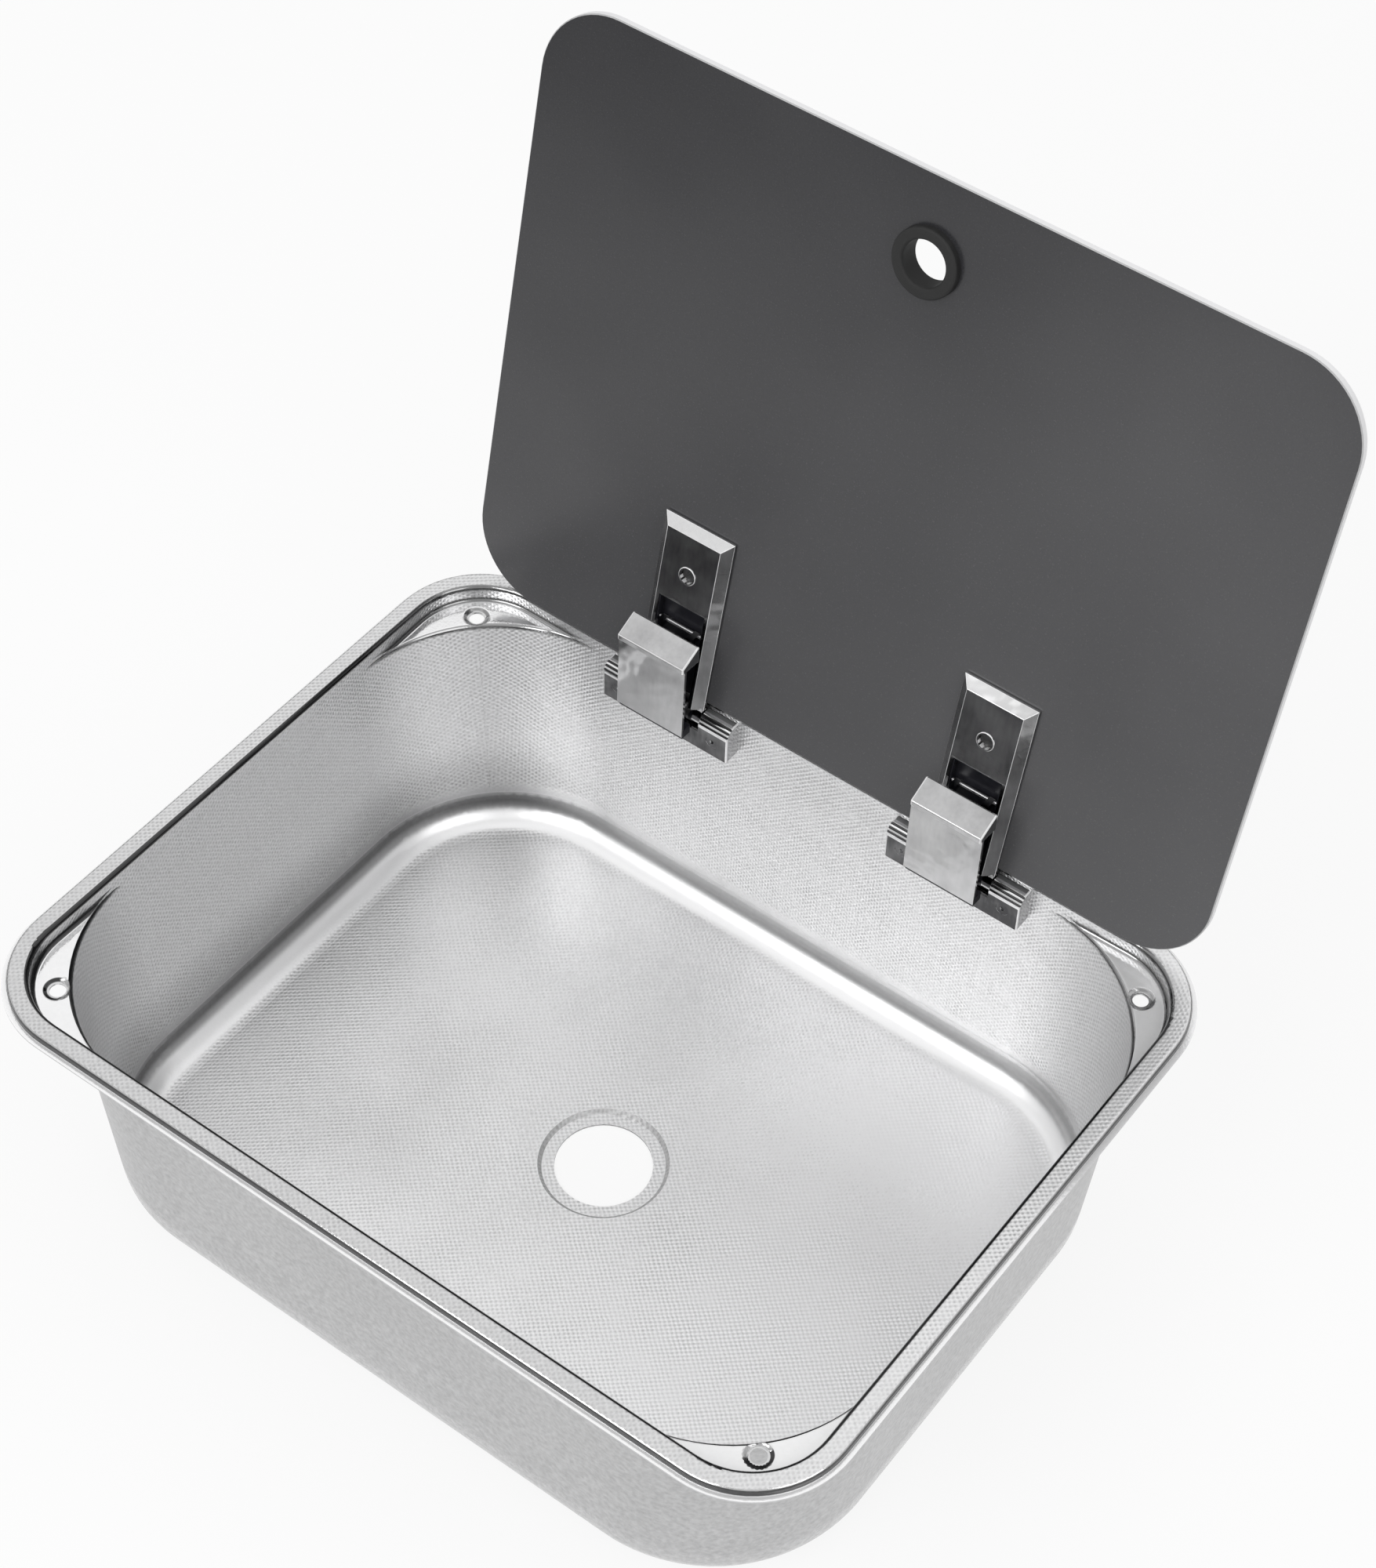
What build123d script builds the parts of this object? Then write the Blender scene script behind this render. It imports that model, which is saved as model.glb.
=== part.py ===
"""Drop-in sink for a camper worktop, with a hinged glass lid.

Millimetres. +X runs along the hinge side, +Y points to the hinge side, +Z is up. The origin
is the centre of the rim in the plane of the worktop. The lid is drawn open, leaning back.
"""
from build123d import *
from math import atan2, cos, radians, sin, sqrt
import os

os.makedirs("parts", exist_ok=True)

# ---- rim and recess of the pressed bowl ----
sheet = 0.8
rim_length = 420.0
rim_width = 330.0
rim_corner = 46.8
rim_height = 4.8
lip_reach = 2.3
flange_bend = 1.5
flange_width = 11.7
recess_corner = 35.0
recess_bend = 2.4
shelf_depth = 8.5
shelf_bend = 2.2

# ---- basin below the corner shelves ----
basin_corner = 75.0
mouth_bend = 2.2
mouth_steps = 5
basin_depth = 130.5
basin_fillet = 15.5
draft_length = 7.2
draft_width = 4.0
floor_fall = 1.5
floor_margin = 3.0

# ---- drain seat ----
drain_radius = 22.1
drain_seat_radius = 27.7
drain_ring_radius = 29.5
drain_seat_drop = 1.8

# ---- screw holes in the corner shelves, inset from the recess walls ----
shelf_hole_inset_x = 18.3
shelf_hole_inset_y = 17.3
shelf_hole_radius = 3.5
dimple_drop = 1.0
dimple_floor_radius = 3.9
dimple_radius = 6.6

# ---- sealing strip under the rim ----
seal_outer_gap = 1.0
seal_inner_gap = 2.0

# ---- lid hinge axis and lid glass ----
lid_lean = 12.4
pin_from_wall = 4.0
pin_below_rim = 7.9
glass_side_gap = 4.5
glass_front_gap = 1.5
glass_thickness = 4.0
glass_corner = 35.0
glass_from_pin = 9.1
glass_edge = 0.5

# ---- fits shared by all pieces ----
snug = 0.02
running_gap = 0.05
cut_through = 4.0

# ---- tap hole grommet ----
tap_from_front = 36.8
tap_bore_radius = 10.0
grommet_neck_radius = 12.5
grommet_flange_radius = 15.2
grommet_proud = 3.6
grommet_round = 1.2

# ---- hinges, measured from the middle of each hinge ----
hinge_spacing = 156.4
pin_radius = 2.0
knuckle_radius = 3.4
knuckle_inner = 13.9
knuckle_neck = 1.5
plate_half = 18.5
plate_top = 95.7
plate_base = 1.0
plate_rise = 4.0
plate_bevel = 4.3
plate_round = 0.5
pad_thickness = 0.6
pad_inset = 1.0
window_half = 12.4
window_top = 55.6
rail_heel = 5.5
liner_gap = 0.1
liner_floor = 0.8
liner_wall = 0.5
liner_height = 5.0

# ---- screw that clamps the glass ----
lid_screw_u = 71.6
lid_screw_radius = 2.0
lid_screw_head_radius = 3.5
lid_screw_head_height = 1.4
lid_screw_sink = 3.0
lid_screw_gap = 0.15
lid_ring_radius = 4.5
lid_ring_rise = 0.5
lid_ring_round = 0.4
slot_width = 1.1
slot_depth = 0.8
slot_turn = 60.0
glass_hole_radius = 4.5
bush_outer_radius = 4.4
bush_inner_radius = 2.1
cap_radius = 9.5
cap_height = 3.2
cap_round = 1.4
cap_wall = 0.8

# ---- base bar on the rear wall ----
base_half = 35.0
block_side_gap = 0.4
block_radius = 4.8
block_drop = 14.6
block_round = 0.9
ridge_angles = (20.0, 45.0, 70.0)
ridge_groove = 0.6
web_gap = 0.7
centre_ear_half = 4.0
centre_ear_radius = 3.6
notch_gap = 0.3
pin_end_inset = 1.8
pin_chamfer = 0.3

# ---- friction stack on the lid pin ----
washer_radius = 3.6
washer_bore_gap = 0.1
plain_washer = 0.8
friction_disc = 1.2
spring_count = 6
spring_sheet = 0.6
stack_gap = 0.03

# ---- stay that swings under the lid; its outlines are (back, up) from the lid pin ----
stay_pin_place = (-1.3, -8.6)
stay_pin_radius = 1.5
stay_pin_half = 14.0
stay_eye_radius = 3.3
stay_ear_inner = 6.0
stay_ear_outer = 10.0
ear_rise = 2.5
ear_turn = radians(57)
apron_side_gap = 0.4
apron_sheet = 1.2
apron_foot_place = (-16.3, 1.2)
apron_head_place = (-14.8, 44.6)
hood_rear_top_place = (-4.1, 50.4)
hood_rear_height = 10.0
hood_front_height = 3.4
hood_lip = 1.5
hood_round = 0.9
apron_round = 0.4
core_half = 11.0
core_gap = 0.3
core_toe_place = (-15.1, -1.1)
core_heel_place = (-9.3, -1.1)
core_ankle_place = (-8.3, 3.4)
core_waist_place = (-2.8, 34.9)
foot_side_gap = 0.5
foot_gap = 0.1
lug_inner = 7.2
lug_outer = 10.2
lug_radius = 1.3
lug_rise = 1.2
slide_u = 43.1
slide_w = 3.2
slide_pin_radius = 0.9
slide_pin_gap = 0.4

# ---- wall screws of the base bars ----
wall_screw_x = 26.5
wall_screw_drop = 6.4
wall_screw_radius = 1.75
wall_screw_gap = 0.15
wall_head_radius = 3.2
wall_head_height = 1.9
wall_head_inset = 0.15
wall_socket_radius = 1.2
wall_socket_depth = 0.7
wall_washer_radius = 4.0
wall_washer_thickness = 0.8
wall_nut_radius = 3.5
wall_nut_height = 2.8
wall_screw_tail = 0.8

# ---- levels and positions that follow from the sizes above ----
rim_top = rim_height
lip_half_length = rim_length / 2
lip_half_width = rim_width / 2
flange_half_length = lip_half_length - lip_reach
flange_half_width = lip_half_width - lip_reach
flange_corner = rim_corner - lip_reach
recess_half_length = lip_half_length - flange_width
recess_half_width = lip_half_width - flange_width
shelf_z = rim_top - shelf_depth
shelf_hole_x = recess_half_length - shelf_hole_inset_x
shelf_hole_y = recess_half_width - shelf_hole_inset_y
floor_z = rim_top - basin_depth
drain_floor_z = floor_z - floor_fall
seat_z = drain_floor_z - drain_seat_drop
drafted_height = shelf_z - floor_z - basin_fillet
corner_reach = 1 + sqrt(2)
wall_draft = atan2(draft_width, drafted_height)
pin_y = recess_half_width - pin_from_wall
pin_z = rim_top - pin_below_rim
glass_length = 2 * (recess_half_length - glass_side_gap)
glass_width = pin_y - glass_from_pin + recess_half_width - glass_front_gap
tap_u = glass_from_pin + glass_width - tap_from_front
lean = radians(lid_lean)
plate_front = pad_thickness + plate_base + plate_rise
block_inner = plate_half + block_side_gap
base_front_y = pin_y - block_radius
base_low_z = pin_z - block_drop
web_top_z = pin_z - knuckle_radius - web_gap
wall_screw_z = pin_z - wall_screw_drop
apron_half = plate_half - apron_side_gap
foot_half = apron_half - foot_side_gap
hinge_centres = {"left": -hinge_spacing / 2, "right": hinge_spacing / 2}


def wall_y(z):
    """Rear wall of the basin on the water side at height z."""
    fall = max(0.0, shelf_z - z)
    return recess_half_width - draft_width * fall / drafted_height


def from_pin(back, up):
    """Side-view point at a distance behind and above the lid pin."""
    return (pin_y + back, pin_z + up)


def lid_point(u, w):
    """Side-view point: u from the pin along the open lid, w out of the lid's underside."""
    return (pin_y + u * sin(lean) - w * cos(lean), pin_z + u * cos(lean) + w * sin(lean))


def lid_plane(w):
    """Plane parallel to the open lid; its sketches are drawn in x and u."""
    y, z = lid_point(0, w)
    return Plane(origin=(0, y, z), x_dir=(1, 0, 0), z_dir=(0, -cos(lean), sin(lean)))


def add_frame(half_x, half_y, radius, low, high, mode=Mode.ADD):
    """Upright prism over a rounded rectangle."""
    with BuildSketch(Plane.XY.offset(low)) as outline:
        RectangleRounded(2 * half_x, 2 * half_y, radius)
    extrude(outline.sketch, amount=high - low, mode=mode)


def add_slab(points, x_low, x_high, mode=Mode.ADD):
    """Prism along X over an outline in the side view."""
    with BuildSketch(Plane.YZ.offset(x_low)) as outline:
        with BuildLine():
            Polyline(*points, close=True)
        make_face()
    extrude(outline.sketch, amount=x_high - x_low, mode=mode)


def add_rod(y, z, radius, x_low, x_high, mode=Mode.ADD):
    """Round bar along X."""
    with BuildSketch(Plane.YZ.offset(x_low)) as outline:
        with Locations((y, z)):
            Circle(radius)
    extrude(outline.sketch, amount=x_high - x_low, mode=mode)


def add_disc(plane, x, y, radius, height, mode=Mode.ADD):
    """Round bar that stands on a plane."""
    with BuildSketch(plane) as outline:
        with Locations((x, y)):
            Circle(radius)
    extrude(outline.sketch, amount=height, mode=mode)


def save(piece, name):
    """Label a finished piece and write its file."""
    piece.part.label = name
    export_step(piece.part, "parts/" + name + ".step")


def flange_ceiling(piece):
    """Flat underside of the flange."""
    level = rim_top - sheet
    flat_faces = piece.faces().filter_by(Plane.XY)
    return flat_faces.filter_by_position(Axis.Z, level - snug, level + snug)[0]


def inside_recess(edge):
    """True for an edge that keeps within the recess walls in plan."""
    box = edge.bounding_box()
    within_x = max(box.max.X, -box.min.X) < recess_half_length + snug
    within_y = max(box.max.Y, -box.min.Y) < recess_half_width + snug
    return within_x and within_y


def add_dimple(x, y, gap, mode=Mode.ADD):
    """Soft dish below a corner shelf, grown by the gap outside its water side."""
    upright = Plane(origin=(x, y, shelf_z), x_dir=(1, 0, 0), z_dir=(0, -1, 0))
    with BuildSketch(upright) as section:
        with BuildLine():
            Polyline(
                (dimple_radius + gap, -gap),
                (dimple_radius + gap, dimple_drop),
                (0, dimple_drop),
                (0, -dimple_drop - gap),
                (dimple_floor_radius + gap, -dimple_drop - gap),
            )
            Spline(
                (dimple_floor_radius + gap, -dimple_drop - gap),
                (dimple_radius + gap, -gap),
                tangents=((1, 0), (1, 0)),
            )
        make_face()
    revolve(section.sketch, axis=Axis((x, y, shelf_z), (0, 0, 1)), mode=mode)


def basin_space(gap):
    """Basin with its mouth bent over to the shelves, grown by the gap outside its water side."""
    spread_x = draft_length * (shelf_z - floor_z) / drafted_height
    spread_y = draft_width * (shelf_z - floor_z) / drafted_height
    floor_x = recess_half_length - spread_x - basin_fillet - floor_margin
    floor_y = recess_half_width - spread_y - basin_fillet - floor_margin
    floor_corner = basin_corner - basin_fillet
    bend = mouth_bend - gap
    mouth = [(shelf_z + shelf_bend + sheet, 0, bend)]
    for count in range(mouth_steps + 1):
        drop = bend * (1 - cos(radians(90) * count / mouth_steps))
        flare = bend * (1 - sin(radians(90) * count / mouth_steps))
        mouth.append((shelf_z - gap - drop, gap + drop, flare))
    with BuildPart() as space:
        for level, depth, flare in mouth:
            with BuildSketch(Plane.XY.offset(level)):
                RectangleRounded(
                    2 * (recess_half_length - draft_length * depth / drafted_height + gap),
                    2 * (recess_half_width - draft_width * depth / drafted_height + gap),
                    basin_corner + gap - corner_reach * flare,
                )
        with BuildSketch(Plane.XY.offset(floor_z - gap)):
            RectangleRounded(
                2 * (recess_half_length - spread_x + gap),
                2 * (recess_half_width - spread_y + gap),
                basin_corner + gap,
            )
        loft(ruled=True)
        fillet(space.edges().group_by(Axis.Z)[0], basin_fillet + gap)
        with BuildSketch(Plane.XY.offset(floor_z - gap)):
            RectangleRounded(2 * floor_x, 2 * floor_y, floor_corner)
        with BuildSketch(Plane.XY.offset(drain_floor_z - gap)):
            RectangleRounded(
                2 * (drain_ring_radius + floor_margin),
                2 * (drain_ring_radius + floor_margin),
                drain_ring_radius,
            )
        loft(ruled=True)
        with BuildSketch(Plane.XY.offset(drain_floor_z - gap)):
            Circle(drain_ring_radius + gap)
        with BuildSketch(Plane.XY.offset(seat_z - gap)):
            Circle(drain_seat_radius + gap)
        loft(ruled=True)
    return space.part


def recess_space(gap, low, high):
    """Recess with its floor bent up into the walls, grown by the gap outside its water side."""
    with BuildPart() as space:
        add_frame(
            recess_half_length + gap, recess_half_width + gap, recess_corner + gap, low, high
        )
        fillet(space.edges().group_by(Axis.Z)[0], shelf_bend + gap)
    return space.part


# ==== bowl: one pressed sheet with rim, recess, shelves, basin and drain seat ====
water_side = basin_space(0)
under_side = basin_space(sheet)
shelf_holes = [
    (x_sign * shelf_hole_x, y_sign * shelf_hole_y) for x_sign in (-1, 1) for y_sign in (-1, 1)
]
wall_plane = Plane(
    origin=(0, wall_y(wall_screw_z), wall_screw_z),
    x_dir=(1, 0, 0),
    z_dir=(0, -cos(wall_draft), sin(wall_draft)),
)
screw_face_height = (wall_y(wall_screw_z) - base_front_y) / cos(wall_draft)
screw_face = wall_plane.offset(screw_face_height)
with BuildPart() as bowl:
    add_frame(flange_half_length, flange_half_width, flange_corner, 0, rim_top)
    fillet(bowl.edges().group_by(Axis.Z)[-1], flange_bend)
    add_frame(lip_half_length, lip_half_width, rim_corner, 0, sheet)
    with BuildSketch() as hollow:
        RectangleRounded(
            2 * (flange_half_length - sheet), 2 * (flange_half_width - sheet), flange_corner - sheet
        )
        RectangleRounded(
            2 * (recess_half_length + sheet),
            2 * (recess_half_width + sheet),
            recess_corner + sheet,
            mode=Mode.SUBTRACT,
        )
    extrude(hollow.sketch, amount=rim_top - sheet, mode=Mode.SUBTRACT)
    fillet(flange_ceiling(bowl).outer_wire().edges(), flange_bend - sheet)
    fillet(flange_ceiling(bowl).inner_wires().edges(), recess_bend - sheet)
    add(recess_space(sheet, shelf_z - sheet, sheet))
    add(under_side)
    for x, y in shelf_holes:
        add_dimple(x, y, sheet)
    add(recess_space(0, shelf_z, rim_top), mode=Mode.SUBTRACT)
    add(water_side, mode=Mode.SUBTRACT)
    for x, y in shelf_holes:
        add_dimple(x, y, 0, Mode.SUBTRACT)
        hole_foot = Plane.XY.offset(shelf_z - dimple_drop - cut_through)
        add_disc(hole_foot, x, y, shelf_hole_radius, 2 * cut_through, Mode.SUBTRACT)
    drain_foot = Plane.XY.offset(seat_z - cut_through)
    add_disc(drain_foot, 0, 0, drain_radius, 2 * cut_through, Mode.SUBTRACT)
    for centre in hinge_centres.values():
        for x in (centre - wall_screw_x, centre + wall_screw_x):
            add_disc(
                wall_plane.offset(-cut_through),
                x,
                0,
                wall_screw_radius + wall_screw_gap,
                2 * cut_through,
                Mode.SUBTRACT,
            )
    top_edges = bowl.edges().filter_by_position(Axis.Z, rim_top - snug, rim_top + snug)
    fillet(top_edges.filter_by(inside_recess), recess_bend)
save(bowl, "bowl")

# ==== sealing strip that fills the hollow underside of the rim ====
seal_half_length = flange_half_length - sheet - seal_outer_gap
seal_half_width = flange_half_width - sheet - seal_outer_gap
seal_corner = flange_corner - sheet - seal_outer_gap
seal_width = seal_half_length - recess_half_length - sheet - seal_inner_gap
with BuildPart() as rim_seal:
    add_frame(seal_half_length, seal_half_width, seal_corner, 0, rim_top - sheet)
    add_frame(
        seal_half_length - seal_width,
        seal_half_width - seal_width,
        seal_corner - seal_width,
        0,
        rim_top - sheet,
        Mode.SUBTRACT,
    )
save(rim_seal, "rim_seal")

# ==== glass lid, drawn in its open position ====
glass_back = lid_plane(-glass_thickness)
with BuildPart() as glass_lid:
    with BuildSketch(glass_back) as outline:
        with Locations((0, glass_from_pin + glass_width / 2)):
            RectangleRounded(glass_length, glass_width, glass_corner)
    extrude(outline.sketch, amount=glass_thickness)
    chamfer(glass_lid.edges(), glass_edge)
    add_disc(glass_back, 0, tap_u, grommet_neck_radius, glass_thickness, Mode.SUBTRACT)
    for centre in hinge_centres.values():
        add_disc(
            glass_back, centre, lid_screw_u, glass_hole_radius, glass_thickness, Mode.SUBTRACT
        )
save(glass_lid, "glass_lid")

# ==== rubber grommet in the tap hole ====
grommet_low = -glass_thickness - grommet_proud
grommet_length = glass_thickness + 2 * grommet_proud
lid_normal = Axis((0, pin_y, pin_z), (0, -cos(lean), sin(lean)))
with BuildPart() as tap_grommet:
    for low in (grommet_low, snug):
        add_disc(lid_plane(low), 0, tap_u, grommet_flange_radius, grommet_proud - snug)
    add_disc(lid_plane(grommet_low), 0, tap_u, grommet_neck_radius - snug, grommet_length)
    add_disc(lid_plane(grommet_low), 0, tap_u, tap_bore_radius, grommet_length, Mode.SUBTRACT)
    outer_edges = tap_grommet.edges().filter_by(GeomType.CIRCLE).sort_by(lid_normal)
    fillet([outer_edges[0], outer_edges[1], outer_edges[-1], outer_edges[-2]], grommet_round)
save(tap_grommet, "tap_grommet")

# ==== hinges: two alike, each with a base, a lid plate and a swinging stay ====
apron_foot = from_pin(*apron_foot_place)
apron_head = from_pin(*apron_head_place)
apron_back_foot = (apron_foot[0] + apron_sheet, apron_foot[1])
hood_rear_top = from_pin(*hood_rear_top_place)
hood_rear_low = (hood_rear_top[0], hood_rear_top[1] - hood_rear_height)
hood_front_low = (apron_head[0] + apron_sheet, apron_head[1] - hood_front_height)
lip_top = (apron_head[0] - hood_lip, apron_head[1])
lip_low = (apron_head[0] - hood_lip, apron_head[1] - hood_front_height)
core_toe = from_pin(*core_toe_place)
core_heel = from_pin(*core_heel_place)
core_ankle = from_pin(*core_ankle_place)
core_waist = from_pin(*core_waist_place)
core_front_top = (hood_front_low[0], hood_front_low[1] - core_gap)
core_rear_top = (hood_rear_low[0], hood_rear_low[1] - core_gap)
stay_y, stay_z = from_pin(*stay_pin_place)
ear_chin = (stay_y - stay_eye_radius * cos(ear_turn), stay_z - stay_eye_radius * sin(ear_turn))
notch_back_y = stay_y + stay_eye_radius + notch_gap
notch_front_y = base_front_y - cut_through
slide_pin_half = window_half - liner_gap - liner_wall - slide_pin_gap
stay_tip_y, stay_tip_z = lid_point(slide_u, slide_w)
block_top_z = pin_z + block_radius
block_top_y = wall_y(rim_top) - snug
lid_pin_reach = base_half - pin_end_inset
stack_start = centre_ear_half + stack_gap
disc_start = knuckle_inner - running_gap - friction_disc
spring_start = stack_start + plain_washer + stack_gap
spring_pitch = (disc_start - spring_start) / spring_count
nut_seat = -sheet * cos(wall_draft) - snug
tail_level = nut_seat - wall_washer_thickness - wall_nut_height - wall_screw_tail
pin_plane = Plane(origin=(0, pin_y, pin_z), x_dir=(1, 0, 0), z_dir=(0, -1, 0))
pin_axis = Axis((0, pin_y, pin_z), (1, 0, 0))

for side, centre in hinge_centres.items():

    # -- base bar: two end blocks with the pin bores, a web between them and a centre ear
    with BuildPart() as base:
        for low in (centre - base_half, centre + block_inner):
            with BuildSketch(Plane.YZ.offset(low)) as block:
                with BuildLine():
                    Polyline(
                        (pin_y, block_top_z),
                        (block_top_y, block_top_z),
                        (block_top_y, shelf_z),
                        (wall_y(base_low_z) - snug, base_low_z),
                        (base_front_y, base_low_z),
                        (base_front_y, pin_z),
                    )
                    RadiusArc((base_front_y, pin_z), (pin_y, block_top_z), block_radius)
                make_face()
            extrude(block.sketch, amount=base_half - block_inner)
        end_faces = base.faces().filter_by(Axis.X).sort_by(Axis.X)
        for end_face in (end_faces[0], end_faces[-1]):
            fillet(end_face.edges().sort_by(Axis.Y)[:-2], block_round)
        for angle in ridge_angles:
            for low in (centre - base_half, centre + block_inner):
                add_rod(
                    pin_y - block_radius * cos(radians(angle)),
                    pin_z + block_radius * sin(radians(angle)),
                    ridge_groove,
                    low - snug,
                    low + base_half - block_inner + snug,
                    Mode.SUBTRACT,
                )
        add_slab(
            [
                (base_front_y, base_low_z),
                (base_front_y, web_top_z),
                (wall_y(web_top_z) - snug, web_top_z),
                (wall_y(base_low_z) - snug, base_low_z),
            ],
            centre - block_inner - snug,
            centre + block_inner + snug,
        )
        add_slab(
            [
                (pin_y - centre_ear_radius, web_top_z - snug),
                (pin_y - centre_ear_radius, pin_z),
                (pin_y + centre_ear_radius, pin_z),
                (pin_y + centre_ear_radius, web_top_z - snug),
            ],
            centre - centre_ear_half,
            centre + centre_ear_half,
        )
        add_rod(
            pin_y, pin_z, centre_ear_radius, centre - centre_ear_half, centre + centre_ear_half
        )
        for low in (centre - stay_ear_outer, centre + stay_ear_inner):
            add_slab(
                [
                    (notch_front_y, base_low_z - cut_through),
                    (notch_front_y, web_top_z + snug),
                    (notch_back_y, web_top_z + snug),
                    (notch_back_y, base_low_z - cut_through),
                ],
                low - notch_gap,
                low + stay_ear_outer - stay_ear_inner + notch_gap,
                Mode.SUBTRACT,
            )
        add_rod(
            pin_y,
            pin_z,
            pin_radius + snug,
            centre - base_half - cut_through,
            centre + lid_pin_reach,
            Mode.SUBTRACT,
        )
        add_rod(
            stay_y,
            stay_z,
            stay_pin_radius + snug,
            centre - base_half - cut_through,
            centre + stay_pin_half,
            Mode.SUBTRACT,
        )
        for x in (centre - wall_screw_x, centre + wall_screw_x):
            add_disc(
                wall_plane.offset(-cut_through),
                x,
                0,
                wall_screw_radius + snug,
                screw_face_height + cut_through,
                Mode.SUBTRACT,
            )
            add_disc(
                screw_face.offset(-wall_head_height),
                x,
                0,
                wall_head_radius + snug,
                wall_head_height + cut_through,
                Mode.SUBTRACT,
            )
    save(base, side + "_hinge_base")

    # -- lid pin through both end blocks, pressed in from the left
    with BuildPart() as lid_pin:
        add_rod(pin_y, pin_z, pin_radius, centre - lid_pin_reach, centre + lid_pin_reach)
        chamfer(lid_pin.edges().filter_by(GeomType.CIRCLE), pin_chamfer)
    save(lid_pin, side + "_hinge_lid_pin")

    # -- stay pin through the web, under the lid pin
    with BuildPart() as stay_pin:
        add_rod(stay_y, stay_z, stay_pin_radius, centre - stay_pin_half, centre + stay_pin_half)
        chamfer(stay_pin.edges().filter_by(GeomType.CIRCLE), pin_chamfer)
    save(stay_pin, side + "_hinge_stay_pin")

    # -- friction stack on the lid pin: plain washers, disc springs, friction discs
    with BuildPart() as washers:
        for x in (centre - stack_start - plain_washer, centre + stack_start):
            add_rod(pin_y, pin_z, washer_radius, x, x + plain_washer)
            add_rod(
                pin_y, pin_z, pin_radius + washer_bore_gap, x, x + plain_washer, Mode.SUBTRACT
            )
    save(washers, side + "_hinge_plain_washers")

    with BuildPart() as springs:
        for way in (-1, 1):
            for count in range(spring_count):
                near = spring_start + count * spring_pitch
                far = near + spring_pitch - stack_gap
                inner_x, outer_x = (near, far - spring_sheet)
                if count % 2:
                    inner_x, outer_x = (far - spring_sheet, near)
                with BuildSketch(pin_plane) as section:
                    with BuildLine():
                        Polyline(
                            (centre + way * inner_x, pin_radius + washer_bore_gap),
                            (centre + way * (inner_x + spring_sheet), pin_radius + washer_bore_gap),
                            (centre + way * (outer_x + spring_sheet), washer_radius),
                            (centre + way * outer_x, washer_radius),
                            close=True,
                        )
                    make_face()
                revolve(section.sketch, axis=pin_axis)
    save(springs, side + "_hinge_disc_springs")

    with BuildPart() as discs:
        for x in (centre - disc_start - friction_disc, centre + disc_start):
            add_rod(pin_y, pin_z, washer_radius, x, x + friction_disc)
            add_rod(
                pin_y, pin_z, pin_radius + washer_bore_gap, x, x + friction_disc, Mode.SUBTRACT
            )
    save(discs, side + "_hinge_friction_discs")

    # -- lid plate: bevelled plate with a window, two rails and two knuckles
    with BuildPart() as plate:
        with BuildSketch(lid_plane(pad_thickness)) as outline:
            with Locations((centre, (plate_top + rail_heel) / 2)):
                Rectangle(2 * plate_half, plate_top - rail_heel)
        extrude(outline.sketch, amount=plate_base)
        with BuildSketch(lid_plane(pad_thickness + plate_base)) as bevel_low:
            with Locations((centre, (plate_top + rail_heel) / 2)):
                Rectangle(2 * plate_half, plate_top - rail_heel)
        with BuildSketch(lid_plane(plate_front)) as bevel_high:
            with Locations((centre, (plate_top - plate_bevel + rail_heel) / 2)):
                Rectangle(2 * (plate_half - plate_bevel), plate_top - plate_bevel - rail_heel)
        loft([bevel_low.sketch.face(), bevel_high.sketch.face()], ruled=True)
        fillet(plate.edges().sort_by(lid_normal)[8:], plate_round)
        with BuildSketch(lid_plane(0)) as window:
            with Locations((centre, window_top / 2)):
                Rectangle(2 * window_half, window_top)
        extrude(window.sketch, amount=plate_front + cut_through, mode=Mode.SUBTRACT)
        for low, high in ((-plate_half, -knuckle_inner), (knuckle_inner, plate_half)):
            add_slab(
                [
                    lid_point(0, -knuckle_neck),
                    lid_point(rail_heel, -knuckle_neck),
                    lid_point(rail_heel, knuckle_radius),
                    lid_point(0, knuckle_radius),
                ],
                centre + low,
                centre + high,
            )
            add_rod(pin_y, pin_z, knuckle_radius, centre + low, centre + high)
            add_rod(
                pin_y, pin_z, pin_radius + running_gap, centre + low, centre + high, Mode.SUBTRACT
            )
        add_disc(
            lid_plane(plate_front - lid_ring_rise),
            centre,
            lid_screw_u,
            lid_ring_radius,
            2 * lid_ring_rise,
        )
        fillet(
            plate.edges().filter_by(GeomType.CIRCLE).sort_by(lid_normal)[-1], lid_ring_round
        )
        add_disc(
            lid_plane(plate_front - lid_screw_sink),
            centre,
            lid_screw_u,
            lid_screw_head_radius + lid_screw_gap,
            lid_screw_sink + lid_ring_rise,
            Mode.SUBTRACT,
        )
        add_disc(
            lid_plane(0),
            centre,
            lid_screw_u,
            lid_screw_radius + lid_screw_gap,
            plate_front,
            Mode.SUBTRACT,
        )
    save(plate, side + "_hinge_lid_plate")

    # -- thin pad between the lid plate and the glass
    pad_low = glass_from_pin + pad_inset
    pad_top = plate_top - pad_inset
    with BuildPart() as pad:
        with BuildSketch(lid_plane(0)) as outline:
            with Locations((centre, (pad_top + pad_low) / 2)):
                Rectangle(2 * (plate_half - pad_inset), pad_top - pad_low)
            with Locations((centre, window_top / 2)):
                Rectangle(2 * window_half, window_top, mode=Mode.SUBTRACT)
            with Locations((centre, lid_screw_u)):
                Circle(lid_screw_radius + lid_screw_gap, mode=Mode.SUBTRACT)
        extrude(outline.sketch, amount=pad_thickness)
    save(pad, side + "_hinge_glass_pad")

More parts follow.
